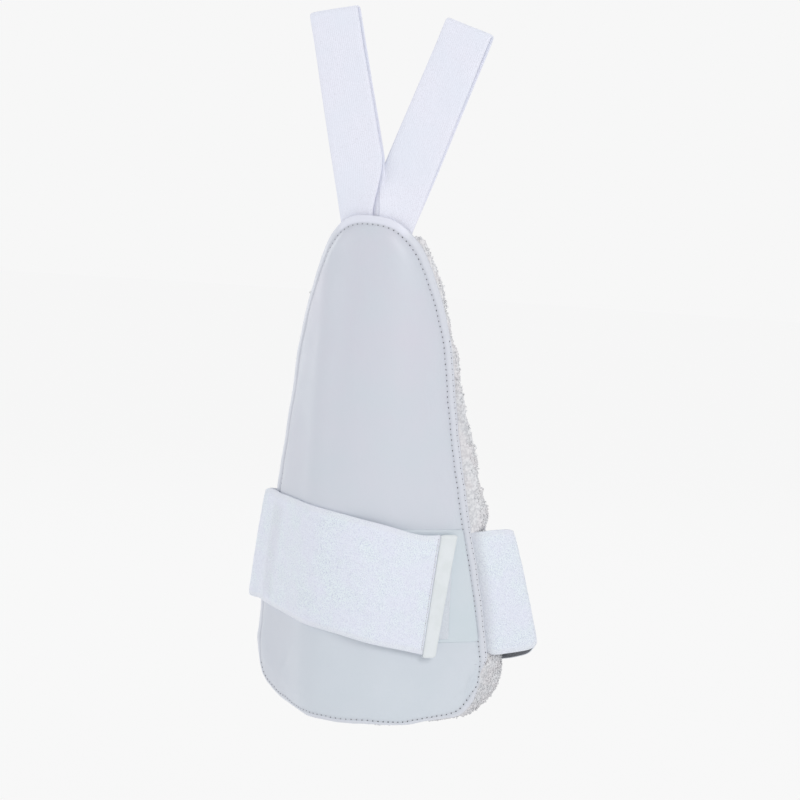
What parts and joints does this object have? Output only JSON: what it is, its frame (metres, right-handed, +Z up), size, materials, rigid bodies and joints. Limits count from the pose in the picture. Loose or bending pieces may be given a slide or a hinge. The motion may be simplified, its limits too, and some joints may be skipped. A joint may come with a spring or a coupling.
{
  "type": "inner thigh pad",
  "caption": "Ridged inner thigh pad with a smooth stitched face, towelling-covered padding, a wide elastic leg strap and folded elastic belt loops",
  "frame": {"origin": "the middle of the padding's back, where it sits against the thigh at the height of the leg strap", "axes": "+Z up along the pad's length, the smooth face looks along -Y, the thigh lies on +Y, +X to the viewer's right"},
  "size_m": [0.192, 0.1033, 0.4457],
  "materials": {
    "cover": "smooth satin coated sheet",
    "towelling": "looped towelling",
    "panel": "smooth satin coated sheet",
    "patch": "fine loop pile",
    "strap": "brushed elastic with a fine pile",
    "tab": "smooth folded band",
    "loop": "finely ribbed woven elastic"
  },
  "bodies": {
    "root": {"front_cover": "cover", "back_pad": "towelling", "landing_panel": "panel", "fastening_patch": "patch", "leg_strap": "strap", "strap_end_tab": "tab", "loop_left": "loop", "loop_right": "loop"}
  },
  "joints": []
}
